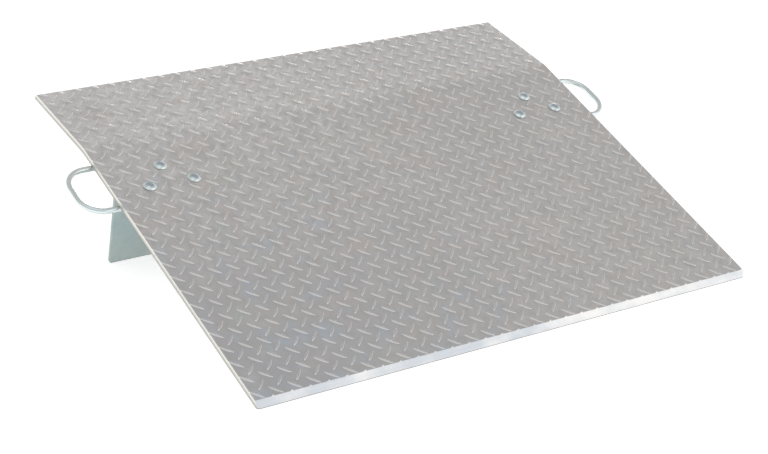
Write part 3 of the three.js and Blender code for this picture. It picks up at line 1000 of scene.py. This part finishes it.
def rolled_aluminium():
    """Mill-finish tread plate: clouds of colour, painted highlights on lug flanks, rolling lines and
    scuffs.
    """
    s = Surface("rolled_aluminium", Metallic=1.0)
    height = s.attribute("height")
    # A painted highlight: lug flanks lighter, fading back on the crest.
    flank = s.ranged(height, *LUG_FLANK, 0, 1)
    crest = s.ranged(height, *LUG_CREST, 0, 0.75)
    rim = s.math("SUBTRACT", flank, crest)

    wide = s.ranged(s.noise(5, 4, roughness=0.55), 0.3, 0.7, 0, 1)
    base = s.mix(wide, (0.755, 0.735, 0.730, 1), (0.805, 0.773, 0.757, 1))
    # Painted reflection: darker and bluer toward the front left corner.
    corner = s.away(PAINTED_REFLECTION_CORNER)
    base = s.mix(s.ranged(corner, 0.05, 0.60, 0.85, 0), base, (0.56, 0.585, 0.64, 1))
    # Painted highlight: a brighter patch on the rear flap.
    painted_highlight = s.ranged(s.away(PAINTED_HIGHLIGHT_PATCH), 0.05, 0.50, 0.85, 0)
    base = s.mix(painted_highlight, base, (0.955, 0.93, 0.92, 1))

    # Blue clouds of tint, made stronger near the front left corner as part of its painted reflection.
    blue = s.ranged(s.noise(26, 4, s.wandering(30, 0.012)), 0.50, 0.68, 0, 0.9)
    near_corner = s.ranged(corner, 0.10, 0.60, 1, 0.35)
    base = s.mix(s.math("MULTIPLY", blue, near_corner), base, (0.63, 0.72, 0.83, 1))
    pink = s.noise(21, 4, s.moved((3.1, 1.7, 0.4)))
    base = s.laid_over(base, pink, 0.50, 0.72, 0.65, (0.78, 0.70, 0.66, 1))
    green = s.noise(15, 3, s.moved((7.3, 2.9, 5.1)))
    base = s.laid_over(base, green, 0.54, 0.76, 0.40, (0.70, 0.76, 0.70, 1))

    speck = s.noise(85, 4, s.stretched((1, 0.8, 1)), roughness=0.6)
    base = s.laid_over(base, speck, 0.35, 0.70, 0.85, grey(0.60, 0.008))
    base = s.laid_over(base, s.noise(240, 3), 0.35, 0.75, 0.30, grey(0.60, 0.006))
    streak = s.noise(40, 4, s.stretched((1, 0.06, 1)))
    base = s.laid_over(base, streak, 0.35, 0.75, 0.18, grey(0.64, 0.012))
    # The painted highlight on the lug flanks.
    colour = s.mix(rim, base, grey(0.80, 0.015))

    rough = s.ranged(s.noise(60, 4), 0.3, 0.7, 0.36, 0.46)
    rough = s.math("SUBTRACT", rough, s.math("MULTIPLY", flank, 0.15))
    normal = s.bump(s.noise(900, 3), 0.00002, 0.4)
    rolling_lines = s.noise(1500, 2, s.stretched((1, 0.02, 1)))
    normal = s.bump(rolling_lines, 0.00002, 0.3, normal)
    normal = s.bump(s.noise(70, 3), 0.00015, 0.35, normal)
    return s.finish(colour, rough, normal)


def milled_aluminium():
    """The bevels: bright machined metal with fine cutter marks along the width."""
    s = Surface("milled_aluminium", Metallic=1.0)
    marks = s.noise(260, 2, s.stretched((0.04, 1, 1)))
    bright = s.noise(6, 5, roughness=0.6)
    colour = s.laid_over((0.64, 0.68, 0.72, 1), bright, 0.42, 0.58, 1, grey(0.88, 0.012))
    rough = s.ranged(marks, 0.3, 0.7, 0.30, 0.42)
    return s.finish(colour, rough, s.bump(marks, 0.00006, 0.6))


def sheared_aluminium():
    """Guillotined edges: a burnished band on top, a torn band under it and a dark foot."""
    s = Surface("sheared_aluminium", Metallic=1.0)
    height = s.attribute("height")
    level = s.math("SUBTRACT", height, s.math("MULTIPLY", s.noise(120, 2), 0.0012))
    torn = s.ranged(level, *TORN_BAND, 0, 1)
    grain = s.noise(500, 3, s.stretched((1, 1, 0.12)))
    pits = s.noise(1100, 2)
    colour = s.mix(torn, (0.77, 0.76, 0.70, 1), (0.62, 0.62, 0.58, 1))
    colour = s.laid_over(colour, level, *DARK_FOOT, 1, grey(0.34, 0.03))
    colour = s.laid_over(colour, grain, 0.4, 0.8, 0.25, grey(0.60, 0.02))
    rough = s.ranged(torn, 0, 1, 0.36, 0.58)
    normal = s.bump(grain, 0.00008, 0.4)
    normal = s.bump(pits, 0.00008, 0.5, normal)
    return s.finish(colour, rough, normal)


def plated_steel(name, tone, green, rough_low, rough_high, grain_scale=700):
    """Zinc plating: a soft spangle, blue-green clouds and rub marks. green tints it away from red.

    It has painted shade where a surface faces down, and a painted dark reflection on the crown of a
    bolt head.
    """
    s = Surface(name, Metallic=1.0)
    pale = (tone * (1 - green), tone, tone * (1 - green * 0.3), 1)
    deep = (tone * (0.90 - green * 1.3), tone * 0.94, tone * (0.97 - green * 0.1), 1)
    colour = s.laid_over(deep, s.noise(14, 4), 0.35, 0.65, 1, pale)
    colour = s.laid_over(colour, s.noise(45, 5), 0.52, 0.75, 0.4, grey(tone * 0.82, -green * 0.3))
    colour = s.laid_over(colour, s.cells(220), 0.1, 0.7, 0.10, grey(tone * 1.1))
    # Painted shade: darker where a surface faces down.
    split = s.node("ShaderNodeSeparateXYZ")
    feed(split.inputs[0], s.node("ShaderNodeNewGeometry").outputs["Normal"])
    shade = (tone * 0.55, tone * 0.60, tone * 0.58, 1)
    colour = s.laid_over(colour, split.outputs["Z"], 0.1, -0.6, 0.65, shade)
    # Painted reflection: a darker crown on a bolt head.
    painted_dark_reflection = (tone * 0.47, tone * 0.54, tone * 0.60, 1)
    colour = s.laid_over(colour, s.attribute("crown"), 0.20, 0.55, 0.9, painted_dark_reflection)
    rough = s.ranged(s.noise(80, 4), 0.3, 0.7, rough_low, rough_high)
    normal = s.bump(s.noise(grain_scale, 3), 0.00003, 0.4)
    normal = s.bump(s.noise(90, 2), 0.0001, 0.3, normal)
    return s.finish(colour, rough, normal)


def weld_metal():
    """Plated weld metal: dull, with patches of darker soot."""
    s = Surface("plated_weld", Metallic=1.0)
    colour = s.laid_over(grey(0.56, -0.01), s.noise(160, 4), 0.4, 0.7, 1, grey(0.36, -0.02))
    rough = s.ranged(s.noise(200, 3), 0.3, 0.7, 0.38, 0.56)
    return s.finish(colour, rough, s.bump(s.noise(650, 3), 0.00008, 0.6))


# ------------------------------------------------------------------ the object

deck_materials = [rolled_aluminium(), milled_aluminium(), sheared_aluminium()]
# The legs and flanges take a much darker tone than the same plating on the rod and bolts: painted shade
# for the shade under the deck.
leg_steel_painted_shade = plated_steel("zinc_plated_leg_painted_shade", 0.50, 0.14, 0.40, 0.56)
rod_steel = plated_steel("zinc_plated_rod", 0.88, 0.06, 0.20, 0.30, 1200)
bolt_steel = plated_steel("zinc_plated_bolt", 0.97, 0.08, 0.18, 0.28, 1600)
weld_steel = weld_metal()

tread_plate = make_piece("tread_plate", deck_mesh(), deck_materials)
stand_for(tread_plate, "deck_plate")

# Each fastener's mesh, and the height of its origin in the deck frame.
FASTENERS = (
    ("bolt", bolt_mesh(), JOINT_GAP),
    ("washer", washer_mesh(), WASHER_TOP),
    ("nut", nut_mesh(), NUT_TOP),
)

for side, sign in SIDES:
    flange = make_piece(f"{side}_flange", flange_mesh(side), [leg_steel_painted_shade], PLATE_SMOOTHING)
    stand_for(flange, f"{side}_flange_plate")
    leg = make_piece(f"{side}_leg_plate", leg_mesh(side), [leg_steel_painted_shade], PLATE_SMOOTHING)
    stand_for(leg, f"{side}_leg")
    loop = make_piece(f"{side}_loop_rod", loop_mesh(side, sign), [rod_steel], ROD_SMOOTHING)
    stand_for(loop, f"{side}_hand_loop")
    for end, way in (("front", -1), ("rear", 1)):
        for joint, weld in (("leg", leg_weld_mesh), ("loop", loop_weld_mesh)):
            shape = weld(side, way)
            bead = make_piece(f"{side}_{joint}_{end}_bead", shape, [weld_steel], WELD_SMOOTHING)
            stand_for(bead, f"{side}_{joint}_{end}_weld")
    for bolt in BOLTS:
        axis = bolt_axis(side, bolt)
        for kind, shape, height in FASTENERS:
            place = DECK_FRAME @ Matrix.Translation((axis.x, axis.y, height))
            name = f"{side}_{bolt}_plated_{kind}"
            fastener = make_piece(name, shape.copy(), [bolt_steel], FASTENER_SMOOTHING, place)
            stand_for(fastener, f"{side}_{bolt}_{kind}")

# ------------------------------------------------------------------ floor, lights and camera

scene = bpy.context.scene

# The room's light from each height of a direction, from the horizon (0) to overhead (1):
# height, brightness and warmth.
SKY = (
    (0.0, 0.94, 0.0),
    (0.15, 0.82, 0.0),
    (0.3, 0.76, 0.0),
    (0.46, 0.66, 0.0),
    (0.62, 0.56, 0.01),
    (0.77, 0.52, 0.02),
    (1.0, 0.55, 0.0),
)
# Soft bright panels: way, angles in degrees of the inner and outer edge, and gain. They hang
# behind on the right, in front on the right and overhead.
PANELS = (
    ((0.64, 0.77, 0.02), 5, 16, 6.4),
    ((0.53, -0.72, 0.46), 14, 34, 0.62),
    ((-0.15, -0.25, 0.96), 8, 32, 0.65),
)
# The floor's own light keeps it as white as the background of a cut-out product picture.
FLOOR_GLOW = 0.56
FLOOR_HALF = 14
FLOOR_CELLS = 8
# The floor lies just below the object, so that their faces never coincide.
FLOOR_DROP = 0.0003

# The camera looks along a heading clockwise from +Y, tilted down and rolled, all in degrees.
CAMERA_HEADING = 33.83
CAMERA_TILT = 25.75
CAMERA_ROLL = 3.87
CAMERA_AIM = (-0.102, 0.032, 0.029)
CAMERA_DISTANCE = 2.972
CAMERA_LENS = 85.84
CAMERA_SENSOR = 36
CAMERA_SHIFT = 0.08


def pale_floor():
    s = Surface("pale_floor", Emission_Color=(1, 1, 1, 1), Emission_Strength=FLOOR_GLOW)
    colour = s.laid_over(grey(0.90), s.noise(3, 3), 0.3, 0.7, 1, grey(0.92))
    rough = s.ranged(s.noise(20, 2), 0.3, 0.7, 0.7, 0.8)
    return s.finish(colour, rough, s.bump(s.noise(300, 2), 0.0002, 0.2))


def make_floor():
    bm = bmesh.new()
    bmesh.ops.create_grid(bm, x_segments=FLOOR_CELLS, y_segments=FLOOR_CELLS, size=FLOOR_HALF)
    place = Matrix.Translation((0, 0, -FLOOR_DROP))
    floor = make_piece("floor", bm, [pale_floor()], matrix=place)


def colour_sky(ramp):
    """Puts the stops of SKY on a colour ramp that starts with one stop at each end."""
    stops = ramp.color_ramp.elements
    for height, _, _ in SKY[1:-1]:
        stops.new(height)
    for stop, (height, level, warmth) in zip(stops, SKY):
        stop.position = height
        stop.color = grey(level, warmth)


def make_sky():
    """A grey studio room with soft bright panels, all in the world's background."""
    world = bpy.data.worlds.new("studio")
    world.use_nodes = True
    scene.world = world
    nodes = world.node_tree.nodes
    background = nodes["Background"]
    way_out = nodes.new("ShaderNodeTexCoord").outputs["Generated"]
    split = nodes.new("ShaderNodeSeparateXYZ")
    ramp = nodes.new("ShaderNodeValToRGB")
    feed(split.inputs[0], way_out)
    feed(ramp.inputs["Fac"], split.outputs["Z"])
    feed(background.inputs["Color"], ramp.outputs["Color"])
    colour_sky(ramp)
    strength = 1
    for way, inner, outer, gain in PANELS:
        facing = nodes.new("ShaderNodeVectorMath")
        facing.operation = "DOT_PRODUCT"
        feed(facing.inputs[0], way_out)
        facing.inputs[1].default_value = Vector(way).normalized()
        panel = nodes.new("ShaderNodeMapRange")
        panel.interpolation_type = "SMOOTHSTEP"
        feed(panel.inputs["Value"], facing.outputs["Value"])
        panel.inputs["From Min"].default_value = math.cos(math.radians(outer))
        panel.inputs["From Max"].default_value = math.cos(math.radians(inner))
        panel.inputs["To Max"].default_value = gain
        add = nodes.new("ShaderNodeMath")
        feed(add.inputs[0], panel.outputs["Result"])
        feed(add.inputs[1], strength)
        strength = add.outputs["Value"]
    feed(background.inputs["Strength"], strength)


def make_camera():
    """A long lens from the front left, a little above the deck."""
    heading, tilt = math.radians(CAMERA_HEADING), math.radians(CAMERA_TILT)
    level_ahead = Vector((math.sin(heading), math.cos(heading), 0))
    ahead = level_ahead * math.cos(tilt) - Vector((0, 0, math.sin(tilt)))
    level = ahead.cross(Vector((0, 0, 1))).normalized()
    right = Matrix.Rotation(math.radians(CAMERA_ROLL), 3, -ahead) @ level
    up = right.cross(ahead)
    data = bpy.data.cameras.new("camera")
    data.lens = CAMERA_LENS
    data.sensor_width = CAMERA_SENSOR
    data.shift_x = CAMERA_SHIFT
    camera = bpy.data.objects.new("camera", data)
    scene.collection.objects.link(camera)
    turn = Matrix((right, up, -ahead)).transposed().to_4x4()
    camera.matrix_world = Matrix.Translation(Vector(CAMERA_AIM) - ahead * CAMERA_DISTANCE) @ turn
    scene.camera = camera


make_floor()
make_sky()
make_camera()
scene.view_settings.view_transform = "Standard"
